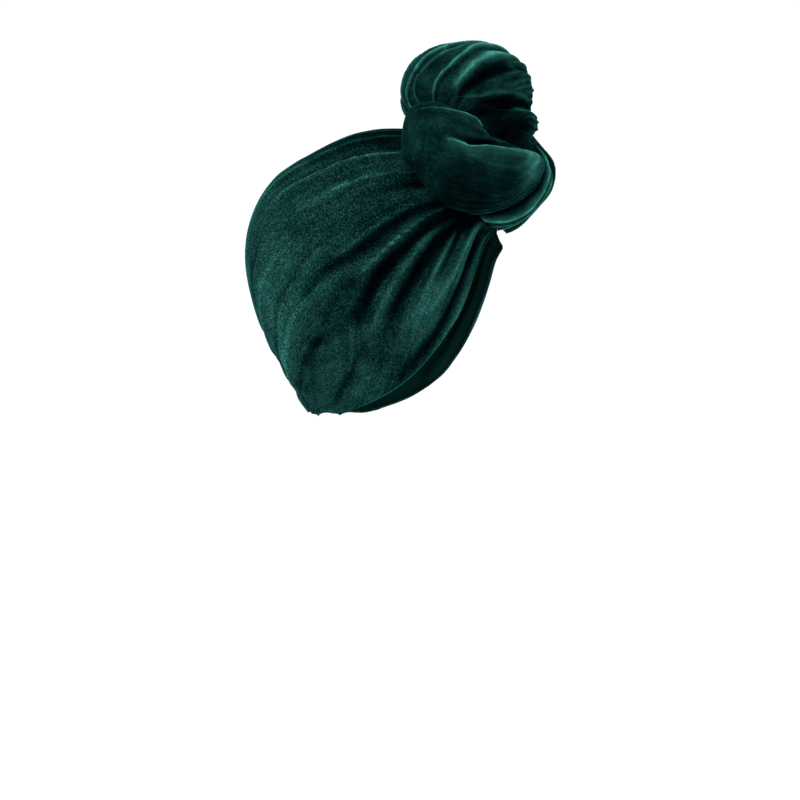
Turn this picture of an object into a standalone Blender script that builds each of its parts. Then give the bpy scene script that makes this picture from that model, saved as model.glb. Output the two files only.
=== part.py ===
"""Turban headwrap: a pleated velvet cap, open below for the head, with a wound knot in front.

The wearer faces -Y, and +Z is up. The origin is the inner crown point, where a head carries the cap.
Sizes are in metres. The tables hold shares of the named sizes, a row for each section, fold or pleat.
"""

import math

import bmesh
import bpy
from mathutils import Vector

# Cap, measured outside over its folds.
CAP_LENGTH = 0.201
CAP_WIDTH = 0.158
CAP_HEIGHT = 0.2204
CAP_WALL = 0.0024
CAP_FOLD_DEPTH = 0.0055
CAP_FOLD_WIDTH = 0.035
CAP_RIBS = 54
CAP_STATIONS = 24
FAR_HEM_DROP = 0.009
# Shares of the way along the cap: where the lowered far hem is level again, how far into itself
# each valley starts, and the step over which the envelope's slope is read.
FAR_HEM_FADE_SHARE = 0.25
VALLEY_LEAD_SHARE = 0.12
SLOPE_STEP_SHARE = 0.004

# Knot: wound lobes round one middle, which sits over the front of the cap. Its place is in shares of
# the cap's length and height.
KNOT_FORWARD_SHARE = 0.308
KNOT_DOWN_SHARE = 0.118
KNOT_SIZE = 0.100
KNOT_WIDTH = 0.126
BUN_SIZE = 0.094
BUN_WIDTH = 0.094
LIP_SIZE = 0.040
LIP_WIDTH = 0.060
PLEAT_HEIGHT = 0.0032
PIECE_GAP = 0.0003
# How far the helper that cuts the lobes clear of the cap reaches past the hem, as a share.
SEAT_BORDER_SHARE = 0.04

# The brow under the cap, as shares of the cap's half width, length and height.
BROW_MIDDLE_Y_SHARE = 0.070
BROW_MIDDLE_Z_SHARE = -0.400
BROW_HALF_LENGTH_SHARE = 0.4876
BROW_HALF_HEIGHT_SHARE = 0.408

VELVET = (0.006, 0.070, 0.052, 1.0)
VELVET_ROUGHNESS = 0.85


def table(columns, rows):
    """Rows of numbers as a list of dictionaries with named columns."""
    return [dict(zip(columns.split(), row)) for row in rows]


# Sections of the cap from the knot to the nape. along: share of the way. top: the point on the
# middle line. hem: the point on the hem. y, z and x are shares of the cap's length, height and
# half width. full: under 1 squares the arch, 1 is an ellipse.
CAP_SECTIONS = table(
    "along top_y top_z wide hem_x hem_y hem_z full",
    [
        (0.000, -0.383, -0.245, 0.333, 0.296, -0.393, -0.358, 1.00),
        (0.070, -0.338, -0.154, 0.500, 0.407, -0.363, -0.408, 1.05),
        (0.160, -0.269, -0.073, 0.625, 0.506, -0.333, -0.499, 1.05),
        (0.270, -0.159, -0.014, 0.765, 0.605, -0.289, -0.617, 1.00),
        (0.380, -0.025, 0.011, 0.880, 0.716, -0.234, -0.712, 0.90),
        (0.490, 0.139, -0.005, 0.955, 0.790, -0.169, -0.794, 0.82),
        (0.600, 0.303, -0.070, 1.000, 0.815, -0.104, -0.853, 0.80),
        (0.700, 0.443, -0.150, 0.988, 0.802, -0.035, -0.894, 0.82),
        (0.790, 0.532, -0.272, 0.951, 0.741, 0.035, -0.926, 0.85),
        (0.860, 0.560, -0.417, 0.889, 0.654, 0.095, -0.948, 0.90),
        (0.920, 0.520, -0.603, 0.790, 0.556, 0.144, -0.966, 0.95),
        (0.965, 0.443, -0.762, 0.654, 0.457, 0.184, -0.980, 1.00),
        (1.000, 0.328, -0.944, 0.469, 0.346, 0.219, -0.989, 1.00),
    ],
)

# Valleys between the cap's folds. side: -1 near, 1 far. start and end: where the valley begins and
# ends along the cap. from_u and to_u: its place across the cap there, 0 at the middle line and 1 at
# the hem. width and depth: shares of the fold width and the fold depth.
CAP_VALLEYS = table(
    "side start end from_u to_u width depth",
    [
        (-1, 0.00, 0.50, 0.10, 0.12, 0.50, 0.35),
        (-1, 0.00, 0.72, 0.30, 0.29, 0.60, 0.40),
        (-1, 0.00, 0.80, 0.48, 0.61, 0.90, 0.60),
        (-1, 0.02, 0.74, 0.57, 0.79, 1.00, 1.00),
        (-1, 0.02, 0.60, 0.64, 0.82, 0.80, 1.00),
        (-1, 0.02, 0.42, 0.70, 0.81, 0.60, 0.80),
        (-1, 0.02, 0.62, 0.80, 0.96, 0.70, 0.80),
        (-1, 0.74, 1.00, 0.88, 0.90, 0.45, 0.60),
        (-1, 0.80, 1.00, 0.62, 0.62, 0.45, 0.60),
        (-1, 0.82, 1.00, 0.34, 0.34, 0.45, 0.70),
        (1, 0.82, 1.00, 0.04, 0.02, 0.45, 0.70),
        (1, 0.82, 1.00, 0.40, 0.38, 0.45, 0.60),
        (1, 0.78, 1.00, 0.72, 0.74, 0.45, 0.60),
        (1, 0.00, 0.55, 0.16, 0.14, 0.50, 0.35),
        (1, 0.00, 0.76, 0.36, 0.34, 0.60, 0.45),
        (1, 0.00, 0.70, 0.50, 0.60, 0.90, 0.70),
        (1, 0.02, 0.66, 0.60, 0.76, 0.90, 1.00),
        (1, 0.02, 0.54, 0.68, 0.84, 0.80, 0.90),
        (1, 0.02, 0.60, 0.80, 0.95, 0.70, 0.80),
    ],
)

# Outlines of the knot's lobes, seen from the near side. angle: degrees from the front, upwards.
# reach: share of half the lobe's size.
BAND_OUTLINE = table(
    "angle reach",
    [
        (0, 1.06),
        (12, 0.76),
        (30, 0.55),
        (55, 0.50),
        (80, 0.60),
        (105, 0.78),
        (135, 1.10),
        (165, 1.00),
        (185, 0.93),
        (202, 0.79),
        (245, 0.80),
        (285, 0.84),
        (320, 0.98),
        (350, 1.10),
    ],
)
UNDER_OUTLINE = table(
    "angle reach",
    [
        (0, 1.02),
        (25, 0.88),
        (90, 0.85),
        (180, 0.85),
        (215, 0.85),
        (235, 0.80),
        (258, 0.86),
        (276, 0.95),
        (297, 1.04),
        (322, 1.07),
        (350, 1.08),
    ],
)
BACK_OUTLINE = table(
    "angle reach",
    [
        (0, 1.13),
        (17, 0.98),
        (45, 0.90),
        (90, 0.90),
        (135, 0.95),
        (180, 0.95),
        (225, 1.00),
        (270, 1.04),
        (297, 1.09),
        (325, 1.11),
        (342, 1.17),
    ],
)
BUN_OUTLINE = table(
    "angle reach",
    [
        (0, 1.04),
        (29, 1.02),
        (50, 0.985),
        (75, 0.95),
        (92, 0.95),
        (118, 1.035),
        (145, 1.065),
        (175, 1.045),
        (193, 0.97),
        (230, 0.90),
        (270, 0.86),
        (320, 0.95),
    ],
)
LIP_OUTLINE = table(
    "angle reach",
    [
        (0, 1.00),
        (45, 0.72),
        (90, 0.52),
        (180, 0.95),
        (270, 0.60),
        (330, 0.85),
    ],
)

# Pleats of the lobes. rib: degrees round the line between the lobe's two gathers. width: degrees.
# height: share of the pleat height, under 0 for a crease.
BUN_PLEATS = table(
    "rib width height",
    [
        (20, 12, 0.9),
        (60, 12, -0.8),
        (95, 14, 1.0),
        (130, 12, -1.0),
        (165, 14, 1.0),
        (200, 12, -0.8),
        (240, 14, 0.8),
        (290, 16, -0.6),
    ],
)
BAND_PLEATS = table(
    "rib width height",
    [
        (150, 14, 0.5),
        (185, 10, -0.8),
        (230, 12, -0.5),
    ],
)
UNDER_PLEATS = table(
    "rib width height",
    [
        (120, 12, -0.5),
        (200, 12, 0.4),
        (240, 10, -0.5),
    ],
)
BACK_PLEATS = table(
    "rib width height",
    [
        (40, 14, -0.8),
        (90, 14, -0.8),
        (140, 14, -0.8),
        (220, 16, -0.8),
        (300, 16, -0.6),
    ],
)

# The lobes. middle: across, as a share of half the knot's width; back and up, as shares of its size.
# lean: how far across it slants for each length back and up. near and far: half widths, as shares of
# the lobe's width. gathers: the directions to its two gathers. meshes: its ribs and rings.
LOBES = {
    "knot_band": {
        "size": KNOT_SIZE,
        "width": KNOT_WIDTH,
        "middle": (-0.66, 0.0, 0.0),
        "lean": (-0.26, 0.16),
        "near": 0.22,
        "far": 0.19,
        "outline": BAND_OUTLINE,
        "gathers": ((-0.30, 0.85, 0.45), (-0.20, -0.97, -0.05)),
        "pleats": BAND_PLEATS,
        "meshes": (36, 14),
    },
    "knot_lip_roll": {
        "size": LIP_SIZE,
        "width": LIP_WIDTH,
        "middle": (-0.06, -0.27, 0.30),
        "lean": (0.0, 0.0),
        "near": 0.5,
        "far": 0.5,
        "outline": LIP_OUTLINE,
        "gathers": ((-1.0, 0.1, 0.0), (1.0, 0.1, 0.0)),
        "pleats": [],
        "meshes": (20, 10),
    },
    "knot_bun": {
        "size": BUN_SIZE,
        "width": BUN_WIDTH,
        "middle": (0.0, 0.07, 0.48),
        "lean": (0.0, 0.0),
        "near": 0.5,
        "far": 0.5,
        "outline": BUN_OUTLINE,
        "gathers": ((-0.85, 0.10, -0.45), (0.15, -0.97, 0.20)),
        "pleats": BUN_PLEATS,
        "meshes": (40, 16),
    },
    "knot_under_wrap": {
        "size": KNOT_SIZE,
        "width": KNOT_WIDTH,
        "middle": (-0.34, -0.04, -0.02),
        "lean": (-0.20, 0.12),
        "near": 0.27,
        "far": 0.24,
        "outline": UNDER_OUTLINE,
        "gathers": ((-0.20, 0.60, -0.75), (0.0, -0.98, 0.10)),
        "pleats": UNDER_PLEATS,
        "meshes": (28, 12),
    },
    "knot_back_wrap": {
        "size": KNOT_SIZE,
        "width": KNOT_WIDTH,
        "middle": (0.10, 0.0, 0.0),
        "lean": (0.0, 0.0),
        "near": 0.33,
        "far": 0.43,
        "outline": BACK_OUTLINE,
        "gathers": ((0.10, 0.75, -0.65), (0.10, -0.90, 0.40)),
        "pleats": BACK_PLEATS,
        "meshes": (28, 14),
    },
}


def clear_scene():
    for thing in list(bpy.data.objects):
        bpy.data.objects.remove(thing, do_unlink=True)


def velvet_material(name):
    material = bpy.data.materials.new(name)
    material.use_nodes = True
    shader = material.node_tree.nodes["Principled BSDF"]
    shader.inputs["Base Color"].default_value = VELVET
    shader.inputs["Roughness"].default_value = VELVET_ROUGHNESS
    return material


def face_outwards(mesh):
    """Turns all faces of a closed mesh outwards."""
    bmesh.ops.recalc_face_normals(mesh, faces=mesh.faces)
    if mesh.calc_volume(signed=True) < 0:
        bmesh.ops.reverse_faces(mesh, faces=mesh.faces)
    mesh.normal_update()


def object_from(name, mesh):
    """A smooth-shaded object made from a bmesh, which is then freed."""
    face_outwards(mesh)
    data = bpy.data.meshes.new(name)
    mesh.to_mesh(data)
    mesh.free()
    data.shade_smooth()
    thing = bpy.data.objects.new(name, data)
    bpy.context.scene.collection.objects.link(thing)
    return thing


def curve_value(rows, key, column, at, turn=0.0):
    """Reads a column between its rows, on a smooth curve through them. turn: the key's full turn."""
    count = len(rows)

    def row_at(i):
        laps, place = divmod(i, count) if turn else (0, min(max(i, 0), count - 1))
        return rows[place][key] + laps * turn, rows[place][column]

    i = 0
    while i < count - (1 if turn else 2) and row_at(i + 1)[0] < at:
        i += 1
    (before, low), (here, value), (there, target), (after, high) = (row_at(i + k) for k in (-1, 0, 1, 2))
    step = there - here
    share = (at - here) / step
    slope_here = (target - low) / (there - before)
    slope_there = (high - value) / (after - here)
    square, cube = share**2, share**3
    return (
        (2 * cube - 3 * square + 1) * value
        + (cube - 2 * square + share) * step * slope_here
        + (3 * square - 2 * cube) * target
        + (cube - square) * step * slope_there
    )


def cap_surface(across, along):
    """Point of the cap's outer envelope. across: -1 near hem, 0 middle line, 1 far hem."""
    row = {c: curve_value(CAP_SECTIONS, "along", c, along) for c in CAP_SECTIONS[0] if c != "along"}
    full = row["full"]
    end = math.pi - math.asin((row["hem_x"] / row["wide"]) ** (1 / full))
    turn = abs(across) * end
    down = (1 - math.cos(turn)) / (1 - math.cos(end))
    drop = FAR_HEM_DROP * max(0.0, 1 - along / FAR_HEM_FADE_SHARE) * down if across > 0 else 0.0
    return Vector(
        (
            math.copysign(row["wide"] * CAP_WIDTH / 2 * math.sin(turn) ** full, across),
            CAP_LENGTH * (row["top_y"] + (row["hem_y"] - row["top_y"]) * down),
            CAP_HEIGHT * (row["top_z"] + (row["hem_z"] - row["top_z"]) * down) - drop,
        )
    )


def cap_normal(across, along):
    """Outward direction of the envelope there."""
    step = SLOPE_STEP_SHARE
    u = min(max(across, -1 + step), 1 - step)
    t = min(max(along, step), 1 - step)
    over = cap_surface(u + step, t) - cap_surface(u - step, t)
    back = cap_surface(u, t + step) - cap_surface(u, t - step)
    return over.cross(back).normalized()


def cap_valley_depth(across, along):
    """How far the cloth lies below the envelope, from the table of valleys."""
    row = {c: curve_value(CAP_SECTIONS, "along", c, along) for c in ("wide", "top_z", "hem_z")}
    girth = row["wide"] * CAP_WIDTH / 2 + CAP_HEIGHT * (row["top_z"] - row["hem_z"])
    depth = 0.0
    for valley in CAP_VALLEYS:
        share = (along - valley["start"]) / (valley["end"] - valley["start"])
        if not 0 <= share <= 1:
            continue
        middle = valley["side"] * (valley["from_u"] + (valley["to_u"] - valley["from_u"]) * share)
        width = valley["width"] * CAP_FOLD_WIDTH / girth / 2
        if valley["end"] < 1:
            fade = math.sin(math.pi * min(1.0, VALLEY_LEAD_SHARE + share))
        else:
            fade = math.sin(math.pi * share / 2)
        offset = abs(across - middle) / width
        if offset < 1:
            depth += valley["depth"] * max(fade, 0.0) * math.cos(math.pi * offset / 2) ** 2
    return CAP_FOLD_DEPTH * min(depth, 1.0)


def build_head_cap():
    """The cap: a sheet lofted from the knot to the nape, creased, and given its wall inwards."""
    mesh = bmesh.new()
    bmesh.ops.create_grid(mesh, x_segments=CAP_RIBS, y_segments=CAP_STATIONS, size=1.0)
    bmesh.ops.triangulate(mesh, faces=mesh.faces, quad_method="FIXED")
    for vertex in mesh.verts:
        across = vertex.co.x
        along = (vertex.co.y + 1) / 2
        point = cap_surface(across, along)
        vertex.co = point - cap_normal(across, along) * cap_valley_depth(across, along)
    cap = object_from("head_cap", mesh)
    wall = cap.modifiers.new("wall", "SOLIDIFY")
    wall.thickness = CAP_WALL
    wall.offset = -1.0
    return cap


def cap_seat(grow):
    """Helper solid: the cap's envelope grown by the gap and closed to a point inside the head."""
    mesh = bmesh.new()
    bmesh.ops.create_grid(mesh, x_segments=CAP_RIBS, y_segments=CAP_STATIONS, size=1.0)
    bmesh.ops.triangulate(mesh, faces=mesh.faces, quad_method="FIXED")
    rim = [edge for edge in mesh.edges if edge.is_boundary]
    border = bmesh.ops.extrude_edge_only(mesh, edges=rim)["geom"]
    border = [item for item in border if isinstance(item, bmesh.types.BMVert)]
    bmesh.ops.scale(mesh, vec=[1 + SEAT_BORDER_SHARE] * 3, verts=border)
    for vertex in mesh.verts:
        across = vertex.co.x
        along = (vertex.co.y + 1) / 2
        vertex.co = cap_surface(across, along) + cap_normal(across, along) * grow
    rim = [edge for edge in mesh.edges if edge.is_boundary]
    middle = mesh.verts.new((0.0, 0.0, BROW_MIDDLE_Z_SHARE * CAP_HEIGHT))
    for edge in rim:
        mesh.faces.new((*edge.verts, middle))
    return helper_from("cap_seat", mesh)


def brow_form(grow):
    """Helper solid: the brow that the knot rests against below the cap's front."""
    mesh = bmesh.new()
    bmesh.ops.create_uvsphere(mesh, u_segments=48, v_segments=32, radius=1.0)
    halves = (CAP_WIDTH / 2, BROW_HALF_LENGTH_SHARE * CAP_LENGTH, BROW_HALF_HEIGHT_SHARE * CAP_HEIGHT)
    middle = (0.0, BROW_MIDDLE_Y_SHARE * CAP_LENGTH, BROW_MIDDLE_Z_SHARE * CAP_HEIGHT)
    bmesh.ops.scale(mesh, vec=[half + grow for half in halves], verts=mesh.verts)
    bmesh.ops.translate(mesh, vec=middle, verts=mesh.verts)
    return helper_from("brow_form", mesh)


def helper_from(name, mesh):
    """A cutter: an object that is neither rendered nor part of the model."""
    helper = object_from(name, mesh)
    helper.hide_render = True
    helper.display_type = "WIRE"
    return helper


def gathered_direction(flat, gathers):
    """Moves a sphere's point so that its two poles come to the lobe's two gathers.

    The sphere's ribs become arcs from one gather to the other, as cloth lies between them.
    """
    first, second = (Vector(g).normalized() for g in gathers)
    middle = (first + second).normalized()
    along = (second - first).normalized()
    side = middle.cross(along)
    reach = math.tan(first.angle(second) / 4)
    # The point seen from the lower pole on a flat plane, as a ratio of two complex numbers.
    top = complex(flat.x, flat.y)
    under = complex(1 + flat.z, 0)
    if abs(under) < 1e-9:
        top, under = complex(1, 0), complex(0, 0)
    above = -reach * (under + top)
    below = under - top
    product = above * below.conjugate()
    total = abs(above) ** 2 + abs(below) ** 2
    across = 2 * product.real * along + 2 * product.imag * side
    return (across + (abs(below) ** 2 - abs(above) ** 2) * middle) / total


def pleat_relief(pleats, rib, height):
    """Height of a lobe's pleats at this rib, in metres; they fade at the gathers."""
    relief = 0.0
    for pleat in pleats:
        offset = abs((rib - pleat["rib"] + 180) % 360 - 180) / pleat["width"]
        if offset < 1:
            relief += pleat["height"] * math.cos(math.pi * offset / 2) ** 2
    return relief * PLEAT_HEIGHT * math.sqrt(max(0.0, 1 - height**2))


def lobe_middle(lobe):
    across, back, up = lobe["middle"]
    return Vector(
        (
            across * KNOT_WIDTH / 2,
            -KNOT_FORWARD_SHARE * CAP_LENGTH + back * KNOT_SIZE,
            -KNOT_DOWN_SHARE * CAP_HEIGHT + up * KNOT_SIZE,
        )
    )


def lobe_mesh(lobe, grow):
    """A wound lobe: a sphere drawn to its gathers, fitted to its outline and pleated."""
    mesh = bmesh.new()
    ribs, rings = lobe["meshes"]
    bmesh.ops.create_uvsphere(mesh, u_segments=ribs, v_segments=rings, radius=1.0)
    bmesh.ops.triangulate(mesh, faces=mesh.faces, quad_method="FIXED")
    middle = lobe_middle(lobe)
    for vertex in mesh.verts:
        flat = vertex.co.normalized()
        rib = math.degrees(math.atan2(flat.y, flat.x)) % 360
        way = gathered_direction(flat, lobe["gathers"])
        half = lobe["width"] * (lobe["near"] if way.x < 0 else lobe["far"])
        angle = math.degrees(math.atan2(way.z, -way.y)) % 360
        reach = lobe["size"] / 2 * curve_value(lobe["outline"], "angle", "reach", angle, turn=360.0)
        place = Vector((half * way.x, reach * way.y, reach * way.z))
        lean_back, lean_up = lobe["lean"]
        place.x += lean_back * place.y + lean_up * place.z
        vertex.co = middle + place + place.normalized() * pleat_relief(lobe["pleats"], rib, flat.z)
    face_outwards(mesh)
    for vertex, outward in [(vertex, vertex.normal.copy()) for vertex in mesh.verts]:
        vertex.co += outward * grow
    return mesh


def cut(thing, cutters):
    for cutter in cutters:
        modifier = thing.modifiers.new("clear_of_" + cutter.name, "BOOLEAN")
        modifier.operation = "DIFFERENCE"
        modifier.solver = "MANIFOLD"
        modifier.object = cutter


def build_knot():
    """The lobes in order; each one is cut clear of the cap, the brow and the lobes before it."""
    cutters = [cap_seat(PIECE_GAP), brow_form(PIECE_GAP)]
    pieces = []
    for name, lobe in LOBES.items():
        piece = object_from(name, lobe_mesh(lobe, 0.0))
        cut(piece, cutters)
        cutters.append(helper_from(name + "_room", lobe_mesh(lobe, PIECE_GAP)))
        pieces.append(piece)
    return pieces


def main():
    clear_scene()
    for piece in [build_head_cap(), *build_knot()]:
        piece.data.materials.append(velvet_material(piece.name + "_velvet"))


main()
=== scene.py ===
"""Looks of the turban headwrap: a pleated cap of crushed velvet with a wound knot in front.

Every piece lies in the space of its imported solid. The wearer faces -Y, +Z is up, and sizes are in metres.
"""

import math

import bmesh
import bpy
import numpy as np
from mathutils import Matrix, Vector


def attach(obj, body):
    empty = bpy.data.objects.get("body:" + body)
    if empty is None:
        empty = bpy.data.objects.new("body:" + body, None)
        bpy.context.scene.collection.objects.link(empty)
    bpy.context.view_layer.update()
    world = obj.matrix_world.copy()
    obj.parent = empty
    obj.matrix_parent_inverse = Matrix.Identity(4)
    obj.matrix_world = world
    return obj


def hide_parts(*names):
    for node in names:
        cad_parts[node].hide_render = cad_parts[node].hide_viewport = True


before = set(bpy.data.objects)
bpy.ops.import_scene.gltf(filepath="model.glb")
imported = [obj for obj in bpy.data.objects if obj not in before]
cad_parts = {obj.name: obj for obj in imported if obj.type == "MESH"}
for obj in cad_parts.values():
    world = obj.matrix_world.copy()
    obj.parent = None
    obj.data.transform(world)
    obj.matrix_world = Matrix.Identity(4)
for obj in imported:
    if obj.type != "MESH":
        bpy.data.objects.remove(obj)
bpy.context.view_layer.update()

# Cap, measured outside over its folds.
CAP_LENGTH = 0.201
CAP_WIDTH = 0.158
CAP_HEIGHT = 0.2204
CAP_WALL = 0.0016
CAP_INSET = 0.0006
CAP_INSIDE = (0.0, 0.01, -0.10)
CAP_RIBS = 236
CAP_STATIONS = 206
MIDDLE_LINE_POINTS = 400
FAR_HEM_DROP = 0.009
FAR_HEM_FADE_SHARE = 0.25

# Folds of the cap. limits: how deep and high folds that lie on each other may get, in fold depths.
# wander: how far they stray across, and the half width and length of the sheet that it is laid out on.
FOLD_DEPTH = 0.0060
FOLD_WIDTH = 0.035
FOLD_LIMITS = (-1.05, 0.45)
FOLD_PASSES = 3
FOLD_WANDER = 0.007
FOLD_WANDER_SHEET = (0.16, 0.10)

# Ends of the folds of cap and lobes, and the painted highlight line along a folded edge.
CAP_FOLD_FADE = 0.10
LOBE_FOLD_FADE = 0.15
FOLD_END_STRENGTH = 0.6
EDGE_PAINTED_HIGHLIGHT = 0.55
HIGHLIGHT_LINE = 0.0013
HIGHLIGHT_LINE_TURN = 1.3
HIGHLIGHT_LINE_BACK = 0.10
# How fast a patch of painted light or shade fades.
PATCH_FALL = 1.6

# Hem of the cap: the share of the sheet that turns in, how deep, and where the turn dies out.
HEM_SHARE = 0.012
HEM_TURN = 0.0022
HEM_TURN_ENDS = (0.88, 0.96)

# Corners of the nape, which are drawn in and evened, so that they are round.
NAPE_ROUNDING = 0.24
NAPE_ROUNDING_START = 0.91
NAPE_ROUNDING_POWER = 2.5
CORNER_PASSES = 80
CORNER_ACROSS = (0.70, 0.92)
CORNER_ALONG = (0.88, 0.97)

# Scallops of the gathered nape. length: of the lowest one. growth: under 1 lengthens those above it.
SCALLOP_LENGTH = 0.0087
SCALLOP_GROWTH = 0.63
SCALLOP_HEIGHT = 0.0052
SCALLOP_LEAN = 0.6
SCALLOP_FULLNESS = 0.8
SCALLOP_SLANT = 0.85
SCALLOP_WOBBLE = 0.0015
SCALLOP_WOBBLE_RATE = 7
SCALLOP_REACH = 0.072
SCALLOP_FADE = 0.4
SCALLOP_SIDES = (0.12, 0.92)

# Lines of the cloth. Those of the cap fan out from the knot: for places across, how far a line spreads.
FAN_SPREAD = ((0, 0.33, 0.52, 0.62, 0.73, 0.9, 1.0), (0, -0.10, 0.08, 0.36, 0.62, 0.5, 0.2))
FAN_START = 0.3
FAN_ROUNDS = 4
LINES_WIDE = 0.16
LINES_LONG = 0.20
LOBE_LINES = 0.05

# Unevenness: how slowly it changes lengthwise, and the cell, seed and share of each of its layers.
CAP_CREASES = (0.07, ((0.0040, 3, 0.6), (0.0021, 5, 0.4)))
CAP_SWELL = (0.25, ((0.016, 8, 1),))
CAP_WANDER = (1, ((0.018, 2, 1),))
LOBE_CREASES = (0.08, ((0.050, 21, 0.6), (0.024, 23, 0.4)))
LOBE_SWELL = (0.4, ((0.28, 41, 1),))
LOBE_WANDER = (1, ((0.30, 31, 1),))
GATHER_SWELL = (0, ((0.35, 17, 1),))
GATHER_WANDER = (0.3, ((0.4, 11, 1),))

# Heights of creases and swell, and how tight the cap's cloth is for places along it.
CAP_CREASE_HEIGHT = 0.00045
CAP_SWELL_HEIGHT = 0.0006
CAP_TENSION = ((0.0, 0.25, 0.5, 0.7, 1.0), (1.0, 1.0, 0.7, 0.25, 0.15))
LOBE_CREASE_HEIGHT = 0.00022
LOBE_SWELL_HEIGHT = 0.0012

# How light the pile is on the whole, the painted light and shade laid on it with folds, creases,
# swell, notches and pleats, on top of the knot and in its gathers, and its own streaks, speckles and clouds.
CAP_NAP = 0.50
NAP_BY_PAINTED_SHADE = 0.42
SHADE_LIMIT = 1.2
CAP_PAINTED_LIGHT_BY_CREASE = 0.20
CAP_PAINTED_LIGHT_BY_SWELL = 0.10
CAP_PAINTED_SHADE_IN_NOTCH = -0.24
LOBE_PAINTED_LIGHT_BY_PLEAT = 0.12
LOBE_PAINTED_LIGHT_BY_CREASE = 0.06
LOBE_PAINTED_LIGHT_BY_SWELL = 0.05
LOBE_PAINTED_LIGHT_ON_TOP = 0.10
LOBE_PAINTED_SHADE_IN_GATHER = -0.45
STREAKS = 0.30
SPECKLE = 1.60
CLOUDS = 0.40

# How strongly the pile is crushed: for places along the cap and across it, and on the knot.
CRUSH_ALONG = ((0.0, 0.2, 0.5, 1.0), (0.35, 0.6, 1.0, 1.0))
CRUSH_ACROSS = ((0.55, 0.75), (1.0, 0.75))
KNOT_CRUSH = 0.18

# Knot.
KNOT_FORWARD_SHARE = 0.308
KNOT_DOWN_SHARE = 0.118
KNOT_SIZE = 0.100
KNOT_WIDTH = 0.126
BUN_SIZE = 0.094
BUN_WIDTH = 0.094
LIP_SIZE = 0.040
LIP_WIDTH = 0.060
PLEAT_HEIGHT = 0.0030
RIB_WANDER = 2.0
LOBE_INSET = 0.0009
PIECE_GAP = 0.0004
CUT_EDGE_ANGLE = math.radians(62)

# Gathers of the lobes. reach: for heights on the ball, how strong the small pleats are.
# uneven: their strength on the whole, and how much it swings. dimple: how deep the second gather is.
GATHER_REACH = ((0.50, 0.80, 0.93, 0.985, 1.0), (0.0, 0.35, 1.0, 0.8, 0.0))
GATHER_PLEAT_HEIGHT = 0.0011
GATHER_PLEAT_FULLNESS = 0.6
GATHER_TWIST = 4.0
GATHER_BEND = 6.0
GATHER_UNEVEN = (0.75, 0.5)
GATHER_DIMPLE = 0.009
GATHER_DIMPLE_START = 0.90
# Where the painted shade in the second gather starts, as a height on the ball.
GATHER_PAINTED_SHADE_START = 0.93

# The cap's seat and the brow, which the lobes are cut clear of.
SEAT_GRID = (120, 60)
SEAT_BORDER_SHARE = 0.04
BROW_GRID = (96, 64)
BROW_MIDDLE_Y_SHARE = 0.070
BROW_MIDDLE_Z_SHARE = -0.400
BROW_HALF_LENGTH_SHARE = 0.4876
BROW_HALF_HEIGHT_SHARE = 0.408

# Smooth noise: whole numbers that mix a place's cell and the seed.
NOISE_MIX = (73856093, 19349663, 83492791, 2654435761)
NOISE_TURN = 1103515245
NOISE_STEP = 12345
NOISE_TOP = 0xFFFF

# Degrees in a turn, the step that slopes are taken over, and how near points count as the same.
FULL_TURN = 360.0
NORMAL_STEP = 0.004
WELD = 0.000001
POLE = 1e-9

# Colours of the pile, from the deepest painted shade through its own mid tone to the brightest painted
# highlight.
PILE_COLOURS_WITH_PAINTED_LIGHT = (
    (0.00, (0.0001, 0.0006, 0.0010)),
    (0.20, (0.0003, 0.0020, 0.0026)),
    (0.35, (0.0006, 0.0062, 0.0062)),
    (0.50, (0.0032, 0.020, 0.0180)),
    (0.65, (0.0080, 0.040, 0.036)),
    (0.80, (0.015, 0.088, 0.074)),
    (1.00, (0.046, 0.245, 0.190)),
)

# Camera: seen from the wearer's right, a little from the front, level with the middle of the head.
CAMERA_AZIMUTH = math.radians(-80)
CAMERA_TARGET = Vector((0.00065, -0.00369, -0.20085))
CAMERA_SIGHT = 20.0
FRAME_WIDTH = 0.600
LENS = 85.0
SENSOR = 36.0
FLOOR_Z = -0.47


def table(columns, rows):
    """Rows of numbers as a list of dictionaries with named columns."""
    return [dict(zip(columns.split(), row)) for row in rows]


# Sections of the cap from the knot to the nape. top: the point on the middle line. hem: the point on
# the hem. y, z and x are shares of the cap's length, height and half width. full: under 1 squares the arch.
CAP_SECTIONS = table(
    "along top_y top_z wide hem_x hem_y hem_z full",
    [
        (0.000, -0.383, -0.245, 0.333, 0.296, -0.393, -0.358, 1.00),
        (0.070, -0.338, -0.154, 0.500, 0.407, -0.363, -0.408, 1.05),
        (0.160, -0.269, -0.073, 0.625, 0.506, -0.333, -0.499, 1.05),
        (0.270, -0.159, -0.014, 0.765, 0.605, -0.289, -0.617, 1.00),
        (0.380, -0.025, 0.011, 0.880, 0.716, -0.234, -0.712, 0.90),
        (0.490, 0.139, -0.005, 0.955, 0.790, -0.169, -0.794, 0.82),
        (0.600, 0.303, -0.070, 1.000, 0.815, -0.104, -0.853, 0.80),
        (0.700, 0.443, -0.150, 0.988, 0.802, -0.035, -0.894, 0.82),
        (0.790, 0.532, -0.272, 0.951, 0.741, 0.035, -0.926, 0.85),
        (0.860, 0.560, -0.417, 0.889, 0.654, 0.095, -0.948, 0.90),
        (0.920, 0.520, -0.603, 0.790, 0.556, 0.144, -0.966, 0.95),
        (0.965, 0.443, -0.762, 0.654, 0.457, 0.184, -0.980, 1.00),
        (1.000, 0.328, -0.944, 0.469, 0.346, 0.219, -0.989, 1.00),
    ],
)


def fold(path, width, height, shade, crisp=0):
    """A fold of the cloth. path: the places that it runs through, as (along, across). width: to where it
    dies out, a share of the fold width or degrees of rib. height: share of the fold depth, under 0 for a
    valley. shade: how much painted light it lays on the pile's colour, or painted shade where under 0.
    crisp: 1 or -1 for a folded edge that drops towards higher or lower ribs, 0.5 or -0.5 for a roll that
    is steep on that side, 0 for a soft roll."""
    return {"path": path, "width": width, "height": height, "shade": shade, "crisp": crisp}


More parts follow.
